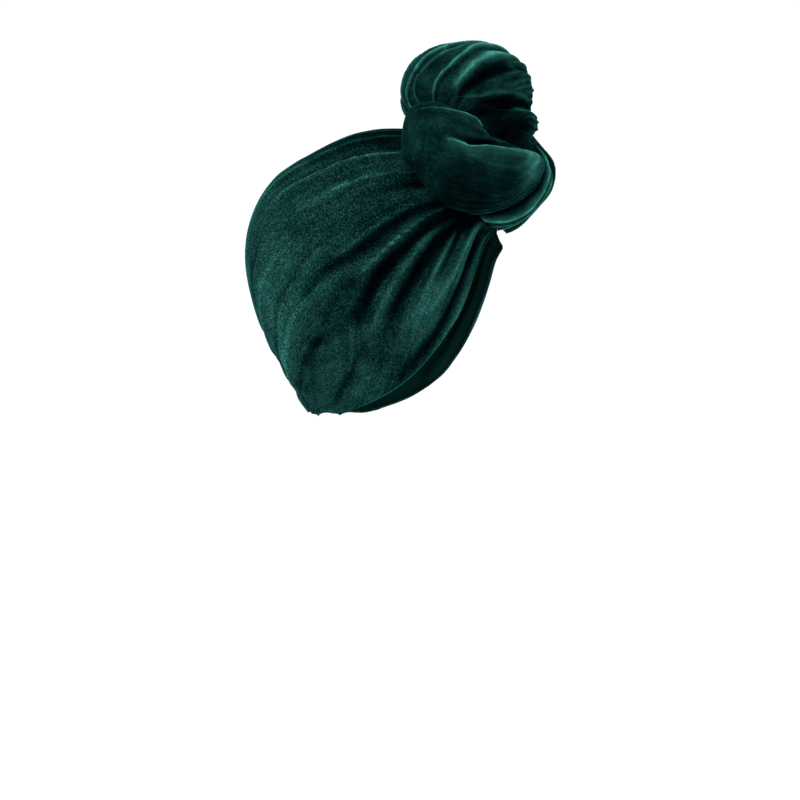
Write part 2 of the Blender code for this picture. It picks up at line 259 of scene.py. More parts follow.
# Folds of the cap. Along: 0 knot, 1 nape. Across: -1 near hem, 0 middle line, 1 far hem.
CAP_FOLDS = [
    fold(((0.06, -0.06), (0.4, -0.06), (0.66, -0.02)), 0.38, 0.24, 0.3, 1),
    fold(((0.06, -0.13), (0.45, -0.12), (0.74, -0.09)), 0.34, 0.24, 0.35, 1),
    fold(((0.05, -0.22), (0.42, -0.19), (0.8, -0.15)), 0.34, 0.26, 0.4, 1),
    fold(((0.05, -0.33), (0.37, -0.31), (0.48, -0.3), (0.69, -0.26)), 0.42, 0.24, 0.4, 1),
    fold(((0.06, -0.3), (0.2, -0.29), (0.36, -0.28)), 0.4, -0.35, -0.8, 0.5),
    fold(((0.05, -0.42), (0.4, -0.41), (0.66, -0.38)), 0.26, 0.14, 0.25, 1),
    fold(((0.03, -0.47), (0.2, -0.47), (0.38, -0.47)), 0.34, -0.25, -0.55, -0.5),
    fold(((0.1, -0.5), (0.34, -0.525), (0.69, -0.55)), 0.4, 0.2, 0.05, -0.5),
    fold(((0.2, -0.525), (0.34, -0.545), (0.6, -0.575)), 0.14, 0.14, 0.45),
    fold(((0.05, -0.53), (0.35, -0.56), (0.49, -0.59), (0.74, -0.61)), 0.52, -0.5, -0.7, 0.5),
    fold(((0.12, -0.57), (0.3, -0.595), (0.48, -0.64), (0.6, -0.665)), 0.24, 0.22, 0.35, -1),
    fold(((0.16, -0.59), (0.34, -0.625), (0.46, -0.655)), 0.1, 0.1, 0.35),
    fold(
        ((0.02, -0.58), (0.24, -0.61), (0.4, -0.655), (0.54, -0.69), (0.66, -0.76)),
        0.80, -1.0, -1.0, 0.5,
    ),
    fold(((0.24, -0.63), (0.38, -0.672), (0.52, -0.715), (0.6, -0.75)), 0.12, 0.14, 0.45),
    fold(((0.2, -0.645), (0.33, -0.665), (0.5, -0.735), (0.62, -0.8)), 0.42, 0.3, 0.6, 0.5),
    fold(((0.02, -0.65), (0.26, -0.685), (0.41, -0.745), (0.52, -0.795)), 0.74, -1.0, -1.1, 0.5),
    fold(((0.22, -0.7), (0.34, -0.745), (0.46, -0.8)), 0.11, 0.14, 0.4),
    fold(((0.12, -0.685), (0.26, -0.722), (0.38, -0.8), (0.48, -0.86)), 0.4, 0.35, 0.35, 0.5),
    fold(((0.02, -0.69), (0.19, -0.715), (0.24, -0.76), (0.32, -0.8)), 0.6, -0.75, -0.9, 0.5),
    fold(((0.05, -0.76), (0.14, -0.785), (0.22, -0.83), (0.38, -0.87)), 0.35, 0.3, 0.55, 0.5),
    fold(((0.1, -0.8), (0.16, -0.83), (0.26, -0.88)), 0.12, 0.16, 0.45),
    fold(
        ((0.02, -0.8), (0.11, -0.86), (0.22, -0.92), (0.4, -0.955), (0.62, -0.975)),
        0.50, -0.65, -0.9, 0,
    ),
    fold(((0.05, -0.93), (0.2, -0.985), (0.4, -0.99)), 0.2, 0.1, 0.25),
    fold(((0.68, -0.83), (0.78, -0.875), (0.92, -0.91)), 0.32, -0.3, -0.4, 0.5),
    fold(((0.6, -0.66), (0.78, -0.72), (0.93, -0.76)), 0.45, -0.22, -0.22, -0.5),
    fold(((0.72, -0.74), (0.86, -0.72), (0.97, -0.66)), 0.34, -0.45, -0.4, 0.5),
    fold(((0.74, -0.64), (0.88, -0.6), (0.98, -0.52)), 0.3, 0.3, 0.35, -0.5),
    fold(((0.76, -0.55), (0.9, -0.5), (0.985, -0.4)), 0.34, -0.45, -0.4, 0.5),
    fold(((0.8, -0.44), (0.92, -0.36), (0.985, -0.25)), 0.3, 0.25, 0.3, -0.5),
    fold(((0.82, -0.32), (0.94, -0.25), (0.99, -0.14)), 0.32, -0.4, -0.35, 0.5),
    fold(((0.84, 0.3), (0.94, 0.22), (0.99, 0.12)), 0.32, -0.4, -0.35, -0.5),
    fold(((0.8, 0.46), (0.92, 0.38), (0.985, 0.27)), 0.3, 0.25, 0.3, 0.5),
    fold(((0.76, 0.58), (0.9, 0.52), (0.985, 0.42)), 0.34, -0.45, -0.4, -0.5),
    fold(((0.72, 0.72), (0.86, 0.7), (0.97, 0.62)), 0.34, -0.45, -0.4, -0.5),
    fold(((0.68, 0.84), (0.8, 0.87), (0.93, 0.88)), 0.32, -0.3, -0.35, -0.5),
    fold(((0.06, 0.06), (0.42, 0.05), (0.7, 0.06)), 0.3, 0.16, 0.3, -1),
    fold(((0.05, 0.14), (0.42, 0.13), (0.76, 0.14)), 0.3, 0.15, 0.3, -1),
    fold(((0.1, 0.23), (0.55, 0.2), (0.8, 0.2)), 0.36, 0.18, 0.35, -1),
    fold(((0.05, 0.31), (0.2, 0.3), (0.4, 0.3)), 0.4, -0.35, -0.75, -0.5),
    fold(((0.05, 0.36), (0.4, 0.35), (0.76, 0.33)), 0.42, 0.24, 0.45, -1),
    fold(((0.1, 0.46), (0.4, 0.49), (0.66, 0.52)), 0.45, 0.2, 0.15, 0.5),
    fold(((0.15, 0.49), (0.4, 0.52), (0.6, 0.55)), 0.14, 0.14, 0.4),
    fold(((0.05, 0.5), (0.3, 0.53), (0.55, 0.58), (0.7, 0.6)), 0.6, -0.65, -0.8, -0.5),
    fold(((0.1, 0.55), (0.34, 0.6), (0.62, 0.68)), 0.32, 0.22, 0.45, 1),
    fold(((0.02, 0.6), (0.25, 0.63), (0.45, 0.69), (0.66, 0.76)), 0.85, -1.0, -1.0, -0.5),
    fold(((0.22, 0.65), (0.4, 0.7), (0.56, 0.76)), 0.12, 0.14, 0.4),
    fold(((0.15, 0.66), (0.35, 0.71), (0.55, 0.79)), 0.38, 0.3, 0.6, -0.5),
    fold(((0.02, 0.68), (0.22, 0.73), (0.36, 0.78), (0.52, 0.84)), 0.8, -0.95, -1.0, -0.5),
    fold(((0.08, 0.74), (0.24, 0.8), (0.42, 0.88)), 0.36, 0.3, 0.6, -0.5),
    fold(((0.02, 0.8), (0.12, 0.86), (0.24, 0.92), (0.6, 0.97)), 0.55, -0.75, -0.9),
]


def painted_light_table(*rows):
    """Large places of painted light and shade on the pile. rows: the middle along and across, half the
    size along and across, and how much."""
    return table("along across long wide shade", rows)


# Painted light and shade on the cap: darker near the knot and over the crown, lighter towards the nape.
CAP_PAINTED_LIGHT = painted_light_table(
    (0.86, -0.50, 0.24, 0.60, 0.22),
    (0.80, -0.10, 0.20, 0.16, 0.20),
    (0.58, -0.90, 0.30, 0.14, 0.10),
    (0.36, -0.50, 0.22, 0.10, -0.20),
    (0.50, -0.62, 0.16, 0.12, -0.12),
    (0.34, -0.12, 0.30, 0.15, -0.95),
    (0.36, 0.14, 0.30, 0.16, -0.60),
    (0.14, -0.45, 0.14, 0.34, -0.70),
    (0.14, 0.45, 0.14, 0.34, -0.65),
    (0.12, -0.80, 0.12, 0.16, -0.25),
    (0.86, 0.50, 0.24, 0.60, 0.22),
    (0.55, 0.88, 0.30, 0.14, 0.10),
)

# Painted light and shade on the lobes. Across: degrees of rib.
BUN_PAINTED_LIGHT = painted_light_table(
    (0.50, 214, 0.55, 22, -0.85),
    (-0.10, 262, 0.40, 12, -0.30),
    (-0.05, 284, 0.26, 9, 0.35),
)
BAND_PAINTED_LIGHT = painted_light_table(
    (-0.40, 38, 0.22, 22, 0.65),
    (0.10, 10, 0.50, 22, -0.22),
    (0.10, 84, 0.50, 14, -0.25),
)
UNDER_PAINTED_LIGHT = painted_light_table(
    (-0.40, 326, 0.50, 34, -1.3),
    (0.10, 290, 0.70, 14, -1.1),
)
BACK_PAINTED_LIGHT = painted_light_table(
    (-0.50, 350, 0.50, 20, -0.3),
    (-0.72, 12, 0.20, 20, -0.6),
)
LIP_PAINTED_LIGHT = painted_light_table(
    (0.60, 320, 0.60, 50, -0.35),
    (0.20, 350, 0.30, 30, 0.25),
)


def outline_table(*rows):
    """Outline of a lobe, seen from the near side. rows: the angle in degrees from the front, upwards,
    and how far the lobe reaches there, as a share of half its size."""
    return table("angle reach", rows)


BAND_OUTLINE = outline_table(
    (0, 1.06), (12, 0.76), (30, 0.55), (55, 0.50), (80, 0.60), (105, 0.78), (135, 1.10), (165, 1.00),
    (185, 0.93), (202, 0.79), (245, 0.80), (285, 0.84), (320, 0.98), (350, 1.10),
)
UNDER_OUTLINE = outline_table(
    (0, 1.02), (25, 0.88), (90, 0.85), (180, 0.85), (215, 0.85), (235, 0.80), (258, 0.86), (276, 0.95),
    (297, 1.04), (322, 1.07), (350, 1.08),
)
BACK_OUTLINE = outline_table(
    (0, 1.13), (17, 0.98), (45, 0.90), (90, 0.90), (135, 0.95), (180, 0.95), (225, 1.00), (270, 1.04),
    (297, 1.09), (325, 1.11), (342, 1.17),
)
BUN_OUTLINE = outline_table(
    (0, 1.04), (29, 1.02), (50, 0.965), (75, 0.925), (92, 0.925), (118, 1.015), (145, 1.065),
    (175, 1.045), (193, 0.97), (230, 0.90), (270, 0.86), (320, 0.95),
)
LIP_OUTLINE = outline_table(
    (0, 1.00), (45, 0.72), (90, 0.52), (180, 0.95), (270, 0.60), (330, 0.85),
)

# Folds of the lobes. Along: 1 at the first gather, -1 at the second. Across: degrees of rib.
BUN_FOLDS = [
    fold(
        ((0.8, 372), (0.67, 360), (0.53, 336), (0.28, 316), (-0.03, 310), (-0.6, 304)),
        13, 0.7, 0.55, -1,
    ),
    fold(((0.8, 356), (0.64, 340), (0.59, 328), (0.44, 316), (0.24, 309), (-0.4, 303)), 9, 0.5, 0.35, -1),
    fold(
        ((0.93, 344), (0.83, 320), (0.74, 310), (0.62, 302), (0.34, 298), (-0.03, 296), (-0.7, 294)),
        16, 1.1, 0.55, -1,
    ),
    fold(
        ((0.8, 288), (0.69, 284), (0.5, 282), (0.21, 280), (-0.28, 280), (-0.75, 280)),
        12, 0.9, 0.85, -0.5,
    ),
    fold(((0.9, 274), (0.81, 270), (0.62, 265), (0.34, 264), (-0.1, 262)), 12, -1.0, -1.0),
    fold(((0.1, 254), (-0.24, 252), (-0.56, 256), (-0.85, 262)), 5, 0.35, 0.4, -0.5),
    fold(((0.24, 241), (-0.03, 239), (-0.41, 240), (-0.7, 246), (-0.9, 252)), 5, 0.4, 0.45, -0.5),
    fold(((0.0, 232), (-0.35, 231), (-0.65, 235), (-0.9, 242)), 5, 0.45, 0.45, -0.5),
    fold(((-0.36, 266), (-0.6, 268), (-0.85, 272)), 7, 1.2, 0.6, -0.5),
    fold(((-0.4, 258), (-0.62, 259), (-0.85, 263)), 4, -0.7, -0.7),
    fold(((-0.42, 249), (-0.65, 251), (-0.88, 256)), 6, 1.0, 0.5, 0.5),
    fold(((-0.38, 224), (-0.6, 226), (-0.9, 234)), 7, 1.0, 0.5, -0.5),
    fold(
        ((0.94, 292), (0.85, 254), (0.74, 244), (0.41, 234), (0.1, 228), (-0.21, 220), (-0.67, 210)),
        10, 0.6, 0.50, -0.5,
    ),
    fold(((0.79, 232), (0.47, 222), (-0.14, 211), (-0.6, 203)), 9, -0.7, -0.6),
    fold(
        ((0.74, 226), (0.69, 218), (0.53, 210), (0.28, 206), (-0.07, 200), (-0.41, 196), (-0.74, 194)),
        13, 0.9, 0.25, 1,
    ),
    fold(((0.6, 362), (0.2, 346), (-0.2, 334), (-0.8, 326)), 12, 0.8, 0.45, -1),
    fold(((0.8, 378), (0.2, 364), (-0.2, 354), (-0.8, 348)), 15, 1.2, 0.5, -1),
    fold(((0.85, 34), (0.3, 21), (-0.2, 13), (-0.85, 6)), 12, 0.8, 0.4, -1),
    fold(((0.85, 54), (0.3, 40), (-0.2, 32), (-0.85, 24)), 15, 1.2, 0.5, -1),
    fold(((0.4, 54), (0.1, 49), (-0.3, 46), (-0.7, 42)), 8, -0.6, -0.6, -0.5),
    fold(((0.85, 78), (0.3, 66), (-0.2, 60), (-0.8, 52)), 15, 1.1, 0.5, -1),
    fold(((0.9, 100), (0.3, 90), (-0.2, 84), (-0.85, 76)), 13, 0.9, 0.5, -1),
    fold(((0.85, 124), (0.3, 118), (-0.2, 112), (-0.8, 104)), 15, 1.1, 0.5, -1),
    fold(((0.9, 152), (0.3, 148), (-0.2, 146), (-0.85, 144)), 14, 0.9, 0.8, -1),
    fold(((0.8, 178), (0.2, 174), (-0.7, 172)), 13, 0.8, 0.7, -1),
]
BAND_FOLDS = [
    fold(((0.92, 108), (0.81, 110), (0.4, 121), (0.07, 122), (-0.17, 110), (-0.32, 84)), 13, 0.4, 0.7, 1),
    fold(((0.56, 52), (0.41, 56), (0.03, 58), (-0.24, 56), (-0.62, 53)), 26, 1.3, 0.8, 1),
    fold(((0.36, 62), (0.0, 68), (-0.26, 65)), 11, -1.1, -1.3),
    fold(((0.12, 358), (-0.04, 361), (-0.2, 367), (-0.36, 378), (-0.5, 392)), 6, 0.35, 0.4, -0.5),
    fold(((0.16, 366), (0.0, 369), (-0.21, 376), (-0.37, 386), (-0.47, 396)), 5, 0.3, 0.3, -0.5),
    fold(((0.04, 373), (-0.14, 378), (-0.3, 386), (-0.42, 396)), 5, 0.25, 0.25, -0.5),
    fold(((0.2, 348), (0.05, 350), (-0.2, 358), (-0.42, 374), (-0.6, 392)), 6, 0.35, 0.45, -0.5),
    fold(((0.25, 338), (0.0, 340), (-0.3, 352), (-0.6, 376)), 7, 0.45, 0.55, -1),
    fold(((-0.24, 391), (-0.34, 396), (-0.46, 404), (-0.62, 412)), 4, 0.25, 0.3, -0.5),
    fold(((-0.2, 400), (-0.32, 404), (-0.44, 410), (-0.6, 416)), 4, 0.25, 0.3, -0.5),
    fold(((-0.22, 410), (-0.36, 413), (-0.5, 418)), 4, 0.2, 0.25, -0.5),
    fold(((0.8, 300), (0.3, 296), (-0.4, 300), (-0.8, 306)), 14, 0.7, 0.6, -1),
    fold(((0.8, 262), (0.3, 258), (-0.4, 260), (-0.8, 262)), 14, 0.7, 0.6, -1),
    fold(((0.8, 222), (0.3, 218), (-0.4, 220), (-0.8, 222)), 14, 0.7, 0.6, -1),
]
UNDER_FOLDS = [
    fold(
        ((0.9, 258), (0.59, 253), (0.1, 253), (-0.24, 259), (-0.5, 269), (-0.8, 282)),
        10, 0.5, 1.1, -0.5,
    ),
    fold(((0.8, 240), (0.3, 236), (-0.2, 242), (-0.7, 258)), 7, 0.4, 0.5, 1),
    fold(
        ((0.9, 271), (0.59, 268), (0.1, 268), (-0.24, 274), (-0.5, 284), (-0.8, 297)),
        9, -0.6, -1.0, 0,
    ),
    fold(((0.8, 222), (0.2, 218), (-0.3, 226), (-0.8, 244)), 12, 0.7, 0.7, 1),
    fold(((0.8, 196), (0.2, 192), (-0.3, 200), (-0.8, 220)), 12, 0.7, 0.7, 1),
]
BACK_FOLDS = [
    fold(((0.8, 340), (0.0, 350), (-0.28, 352), (-0.59, 346), (-0.85, 340)), 10, 0.5, 0.5, 1),
    fold(((0.85, 6), (0.2, 12), (-0.3, 14), (-0.85, 10)), 12, 0.9, 0.6, 1),
    fold(((0.85, 24), (0.2, 33), (-0.3, 38), (-0.85, 34)), 13, 0.7, 0.6, 1),
    fold(((0.9, 48), (0.2, 56), (-0.3, 64), (-0.85, 62)), 14, 0.9, 0.6, 1),
    fold(((0.85, 80), (0.2, 92), (-0.3, 100), (-0.85, 102)), 14, 0.6, 0.6, 1),
    fold(((0.85, 120), (0.2, 130), (-0.3, 140), (-0.85, 146)), 14, 0.6, 0.6, 1),
    fold(((0.85, 150), (0.2, 158), (-0.3, 166), (-0.85, 180)), 14, 0.9, 0.5, 1),
    fold(((0.85, 174), (0.3, 180), (-0.2, 190), (-0.75, 206)), 13, 0.7, 0.6, 1),
    fold(((0.6, 196), (0.2, 204), (-0.2, 214), (-0.8, 226)), 15, 0.7, 0.6, 1),
    fold(((0.85, 214), (0.4, 226), (0.0, 234), (-0.4, 240)), 13, 0.6, 0.5, 1),
    fold(((0.8, 236), (0.3, 249), (-0.1, 254), (-0.8, 256)), 15, 0.8, 0.6, 1),
    fold(((0.3, 266), (-0.1, 268), (-0.5, 270), (-0.85, 274)), 10, -0.8, -0.6, 0.5),
    fold(((0.85, 262), (0.4, 276), (0.0, 284), (-0.5, 286)), 14, 0.7, 0.5, 1),
    fold(((0.7, 290), (0.2, 301), (-0.3, 304), (-0.8, 302)), 15, 0.7, 0.6, 1),
    fold(((0.85, 306), (0.4, 318), (0.0, 324), (-0.5, 324), (-0.8, 318)), 13, 0.6, 0.5, 1),
]
LIP_FOLDS = [
    fold(((0.95, 110), (0.85, 50), (0.62, 28), (0.2, 16), (-0.7, 14)), 14, 0.6, 0.7, 1),
    fold(((0.7, 2), (0.2, 0), (-0.7, 0)), 9, 0.4, 0.45, -1),
    fold(((0.6, 350), (0.2, 347), (-0.7, 346)), 8, 0.35, 0.4, -1),
    fold(((0.5, 336), (0.2, 334), (-0.7, 334)), 8, 0.35, 0.35, -1),
    fold(((0.5, 322), (0.2, 321), (-0.7, 320)), 8, 0.3, 0.3, -1),
    fold(((0.9, 200), (0.0, 204), (-0.9, 200)), 14, -0.4, -0.6),
    fold(((0.9, 240), (0.0, 236), (-0.9, 240)), 12, 0.3, 0.6, 1),
]

# The lobes. middle: across, as a share of half the knot's width; back and up, as shares of its size.
# lean: how far across it slants for each length back and up. halves: half widths on the near side and
# on the far side, as shares of the lobe's width. gathers: the directions to its two gathers. pleats: how
# many small pleats run into each gather, and how strong they are. Its pile's lightness also carries
# painted light or shade for the lobe as a whole.
# meshes: its ribs and rings.
LOBES = {
    "knot_band": {
        "size": KNOT_SIZE,
        "width": KNOT_WIDTH,
        "middle": (-0.66, 0.0, 0.0),
        "lean": (-0.26, 0.16),
        "halves": (0.22, 0.19),
        "outline": BAND_OUTLINE,
        "gathers": ((-0.30, 0.85, 0.45), (0.60, -0.75, 0.28)),
        "folds": BAND_FOLDS,
        "painted_light_patches": BAND_PAINTED_LIGHT,
        "pleats": ((14, 0.0), (34, 0.2)),
        "tone_and_painted_light": 0.36,
        "meshes": (330, 150),
    },
    "knot_lip_roll": {
        "size": LIP_SIZE,
        "width": LIP_WIDTH,
        "middle": (-0.06, -0.27, 0.30),
        "lean": (0.0, 0.0),
        "halves": (0.5, 0.5),
        "outline": LIP_OUTLINE,
        "gathers": ((-1.0, 0.1, 0.0), (1.0, 0.1, 0.0)),
        "folds": LIP_FOLDS,
        "painted_light_patches": LIP_PAINTED_LIGHT,
        "pleats": ((16, 0.2), (18, 0.4)),
        "tone_and_painted_light": 0.32,
        "meshes": (200, 100),
    },
    "knot_bun": {
        "size": BUN_SIZE,
        "width": BUN_WIDTH,
        "middle": (0.0, 0.07, 0.48),
        "lean": (0.0, 0.0),
        "halves": (0.5, 0.5),
        "outline": BUN_OUTLINE,
        "gathers": ((-0.85, 0.10, -0.45), (0.45, -0.88, 0.02)),
        "folds": BUN_FOLDS,
        "painted_light_patches": BUN_PAINTED_LIGHT,
        "pleats": ((16, 0.2), (17, 0.7)),
        "tone_and_painted_light": 0.40,
        "meshes": (360, 160),
    },
    "knot_under_wrap": {
        "size": KNOT_SIZE,
        "width": KNOT_WIDTH,
        "middle": (-0.34, -0.04, -0.02),
        "lean": (-0.20, 0.12),
        "halves": (0.27, 0.24),
        "outline": UNDER_OUTLINE,
        "gathers": ((-0.20, 0.60, -0.75), (0.50, -0.75, 0.45)),
        "folds": UNDER_FOLDS,
        "painted_light_patches": UNDER_PAINTED_LIGHT,
        "pleats": ((16, 0.3), (20, 0.3)),
        "tone_and_painted_light": 0.46,
        "meshes": (300, 130),
    },
    "knot_back_wrap": {
        "size": KNOT_SIZE,
        "width": KNOT_WIDTH,
        "middle": (0.10, 0.0, 0.0),
        "lean": (0.0, 0.0),
        "halves": (0.33, 0.43),
        "outline": BACK_OUTLINE,
        "gathers": ((0.10, 0.75, -0.65), (0.0, -0.50, 0.86)),
        "folds": BACK_FOLDS,
        "painted_light_patches": BACK_PAINTED_LIGHT,
        "pleats": ((20, 0.3), (24, 0.4)),
        "tone_and_painted_light": 0.34,
        "meshes": (320, 140),
    },
}


def curve_values(rows, key, column, at, turn=0.0):
    """Reads a column between its rows on a smooth curve, for an array of places.
    turn: the key's full turn, where it goes round."""
    keys = np.array([row[key] for row in rows], float)
    values = np.array([row[column] for row in rows], float)
    if turn:
        keys = np.concatenate((keys[-2:] - turn, keys, keys[:2] + turn))
        values = np.concatenate((values[-2:], values, values[:2]))
    before = np.concatenate((keys[:1], keys[:-1])), np.concatenate((values[:1], values[:-1]))
    after = np.concatenate((keys[1:], keys[-1:])), np.concatenate((values[1:], values[-1:]))
    slopes = (after[1] - before[1]) / (after[0] - before[0])
    i = np.clip(np.searchsorted(keys, at) - 1, 0, len(keys) - 2)
    step = keys[i + 1] - keys[i]
    share = (at - keys[i]) / step
    square, cube = share**2, share**3
    return (
        (2 * cube - 3 * square + 1) * values[i]
        + (cube - 2 * square + share) * step * slopes[i]
        + (3 * square - 2 * cube) * values[i + 1]
        + (cube - square) * step * slopes[i + 1]
    )


def cap_surface(across, along):
    """Points of the cap's outer envelope, for arrays of places."""
    row = {c: curve_values(CAP_SECTIONS, "along", c, along) for c in CAP_SECTIONS[0] if c != "along"}
    end = math.pi - np.arcsin(np.clip(row["hem_x"] / row["wide"], 0, 1) ** (1 / row["full"]))
    turn = np.abs(across) * end
    down = (1 - np.cos(turn)) / (1 - np.cos(end))
    drop = FAR_HEM_DROP * np.clip(1 - along / FAR_HEM_FADE_SHARE, 0, None) * down * (across > 0)
    return np.stack(
        (
            np.sign(across) * row["wide"] * CAP_WIDTH / 2 * np.abs(np.sin(turn)) ** row["full"],
            CAP_LENGTH * (row["top_y"] + (row["hem_y"] - row["top_y"]) * down),
            CAP_HEIGHT * (row["top_z"] + (row["hem_z"] - row["top_z"]) * down) - drop,
        ),
        axis=1,
    )


def cap_normals(across, along):
    """Outward directions of the envelope there."""
    across = np.clip(across, -1 + NORMAL_STEP, 1 - NORMAL_STEP)
    along = np.clip(along, NORMAL_STEP, 1 - NORMAL_STEP)
    over = cap_surface(across + NORMAL_STEP, along) - cap_surface(across - NORMAL_STEP, along)
    back = cap_surface(across, along + NORMAL_STEP) - cap_surface(across, along - NORMAL_STEP)
    normals = np.cross(over, back)
    return normals / np.linalg.norm(normals, axis=1, keepdims=True)


def cap_girth(along):
    """Length of half a section of the cap, from the middle line to the hem."""
    row = {c: curve_values(CAP_SECTIONS, "along", c, along) for c in ("wide", "top_z", "hem_z")}
    return row["wide"] * CAP_WIDTH / 2 + CAP_HEIGHT * (row["top_z"] - row["hem_z"])


# Heights across a fold, from -1 to 1 widths: a soft roll, a roll with one steep side, a folded edge.
SOFT_ROLL = (
    (-1.0, -0.8, -0.6, -0.4, -0.2, 0.0, 0.2, 0.4, 0.6, 0.8, 1.0),
    (0.0, 0.095, 0.345, 0.655, 0.905, 1.0, 0.905, 0.655, 0.345, 0.095, 0.0),
)
STEEP_ROLL = (
    (-1.0, -0.75, -0.5, -0.3, -0.14, 0.0, 0.15, 0.32, 0.50, 0.68),
    (0.0, 0.08, 0.32, 0.66, 0.92, 1.0, 0.88, 0.45, 0.10, 0.0),
)
FOLDED_EDGE = (
    (-1.0, -0.6, -0.3, -0.18, -0.08, 0.06, 0.15, 0.30, 0.60),
    (0.0, 0.16, 0.50, 0.85, 1.0, -0.2, -0.45, -0.25, 0.0),
)


def fold_profile(offset, crisp):
    """Height across a fold, as a share of its height, for offsets in widths."""
    places, heights = {0: SOFT_ROLL, 0.5: STEEP_ROLL, 1: FOLDED_EDGE}[abs(crisp)]
    return np.interp(offset * math.copysign(1, crisp), places, heights, left=0.0, right=0.0)


def distance_across(across, middle, turn):
    """How far places lie from a middle, the shorter way round where there is a full turn."""
    away = across - middle
    return (away + turn / 2) % turn - turn / 2 if turn else away


def add_folds(folds, along, across, width_of, line, fade, turn=0.0):
    """Height and painted light and shade of all folds at these places, with a painted highlight line on
    each folded edge. width_of: one fold width there, and line: the width of the painted highlight line
    on a folded edge, both in units of across. fade: over how much of the way along a fold dies out."""
    relief = np.zeros_like(along)
    shade = np.zeros_like(along)
    lit = np.zeros_like(along)
    for one in folds:
        path = sorted(one["path"])
        places = np.array([p[0] for p in path], float)
        middles = np.array([p[1] for p in path], float)
        away = distance_across(across, np.interp(along, places, middles), turn)
        outside = np.clip(places[0] - along, 0, None) + np.clip(along - places[-1], 0, None)
        ends = np.clip(1 - outside / fade, 0, 1)
        inside = np.minimum(along - places[0], places[-1] - along) / fade
        strength = ends**2 * np.clip(FOLD_END_STRENGTH + (1 - FOLD_END_STRENGTH) * inside, 0, 1)
        width = one["width"] * width_of
        profile = fold_profile(away / width, one["crisp"]) * strength
        relief += one["height"] * profile
        shade += one["shade"] * profile
        # A folded edge gets a thin painted highlight line just behind its crest.
        if abs(one["crisp"]) == 1:
            edge = np.exp(-(((away * one["crisp"] + HIGHLIGHT_LINE_BACK * width) / line) ** 2))
            lit = np.maximum(lit, edge * strength * min(1.0, 2 * one["shade"]))
    return relief, shade + EDGE_PAINTED_HIGHLIGHT * lit


def add_painted_light_patches(painted_light_patches, along, across, turn=0.0):
    """Painted light and shade over large places."""
    shade = np.zeros_like(along)
    for one in painted_light_patches:
        away = distance_across(across, one["across"], turn)
        far = ((along - one["along"]) / one["long"]) ** 2 + (away / one["wide"]) ** 2
        shade += one["shade"] * np.exp(-PATCH_FALL * far)
    return shade


def smooth_noise(places, cell, seed):
    """Smooth noise from -1 to 1 at an array of 3-D places, the same in each run."""
    scaled = places / cell
    low = np.floor(scaled).astype(np.int64)
    part = scaled - low
    part = part * part * (3 - 2 * part)
    total = np.zeros(len(places))
    for corner in range(8):
        bits = np.array([corner & 1, corner >> 1 & 1, corner >> 2 & 1])
        x, y, z = (low + bits).T
        mixed = x * NOISE_MIX[0] ^ y * NOISE_MIX[1] ^ z * NOISE_MIX[2] ^ seed * NOISE_MIX[3]
        value = ((mixed * NOISE_TURN + NOISE_STEP) >> 8 & NOISE_TOP) / (NOISE_TOP / 2) - 1
        weight = np.prod(np.where(bits, part, 1 - part), axis=1)
        total += value * weight
    return total


def drawn_noise(places, lengthwise, layers):
    """Noise in several layers, drawn out along the cloth."""
    drawn = places * np.array((1.0, 1.0, lengthwise))
    return sum(smooth_noise(drawn, cell, seed) * share for cell, seed, share in layers)


def even_along(share):
    """Places along the cap, evenly spaced over the length of its middle line, and the length left to
    the nape. share: 0 knot, 1 nape."""
    places = np.linspace(0, 1, MIDDLE_LINE_POINTS)
    line = cap_surface(np.zeros(MIDDLE_LINE_POINTS), places)
    lengths = np.concatenate(((0.0,), np.cumsum(np.linalg.norm(np.diff(line, axis=0), axis=1))))
    return np.interp(share * lengths[-1], lengths, places), (1 - share) * lengths[-1]


def nape_gathers(across, girth, left):
    """Scallops of the gathered nape, from 0 in the notches to 1, and how strong they are there.
    left: length left to the nape."""
    slant = SCALLOP_SLANT * np.abs(across) * girth + SCALLOP_WOBBLE * np.sin(across * SCALLOP_WOBBLE_RATE)
    number = (np.abs(left - slant) / SCALLOP_LENGTH) ** SCALLOP_GROWTH
    wave = np.sin(math.pi * (number % 1) ** SCALLOP_LEAN) ** SCALLOP_FULLNESS
    upwards = np.clip(1 - left / SCALLOP_REACH, 0, 1) ** SCALLOP_FADE
    return wave, upwards * np.interp(np.abs(across), SCALLOP_SIDES, (1, 0))


def evened(values, across, share, passes):
    """Values at the points of the cap's sheet, evened over their neighbours."""
    order = np.lexsort((across, share))
    sheet = values[order].reshape(-1, CAP_RIBS + 1)
    for _ in range(passes):
        wide = np.pad(sheet, 1, mode="edge")
        wide = (wide[:-2] + 2 * wide[1:-1] + wide[2:]) / 4
        sheet = (wide[:, :-2] + 2 * wide[:, 1:-1] + wide[:, 2:]) / 4
    result = np.empty_like(values)
    result[order] = sheet.ravel()
    return result


def fan_line(across, along):
    """Which fold line of the cap a place lies on: lines fan out from the knot."""
    line = across.copy()
    for _ in range(FAN_ROUNDS):
        spread = np.interp(np.abs(line), *FAN_SPREAD)
        line = across - np.sign(across) * spread * (along - FAN_START)
    return line


def object_from(name, mesh):
    """A smooth-shaded object made from a bmesh, which is then freed."""
    data = bpy.data.meshes.new(name)
    mesh.to_mesh(data)
    mesh.free()
    data.shade_smooth()
    thing = bpy.data.objects.new(name, data)
    bpy.context.scene.collection.objects.link(thing)
    return thing


def places_of(piece):
    places = np.empty(len(piece.data.vertices) * 3, np.float32)
    piece.data.vertices.foreach_get("co", places)
    return places.reshape(-1, 3).astype(float)


def move_points(piece, places):
    piece.data.vertices.foreach_set("co", places.astype(np.float32).ravel())
    piece.data.update()


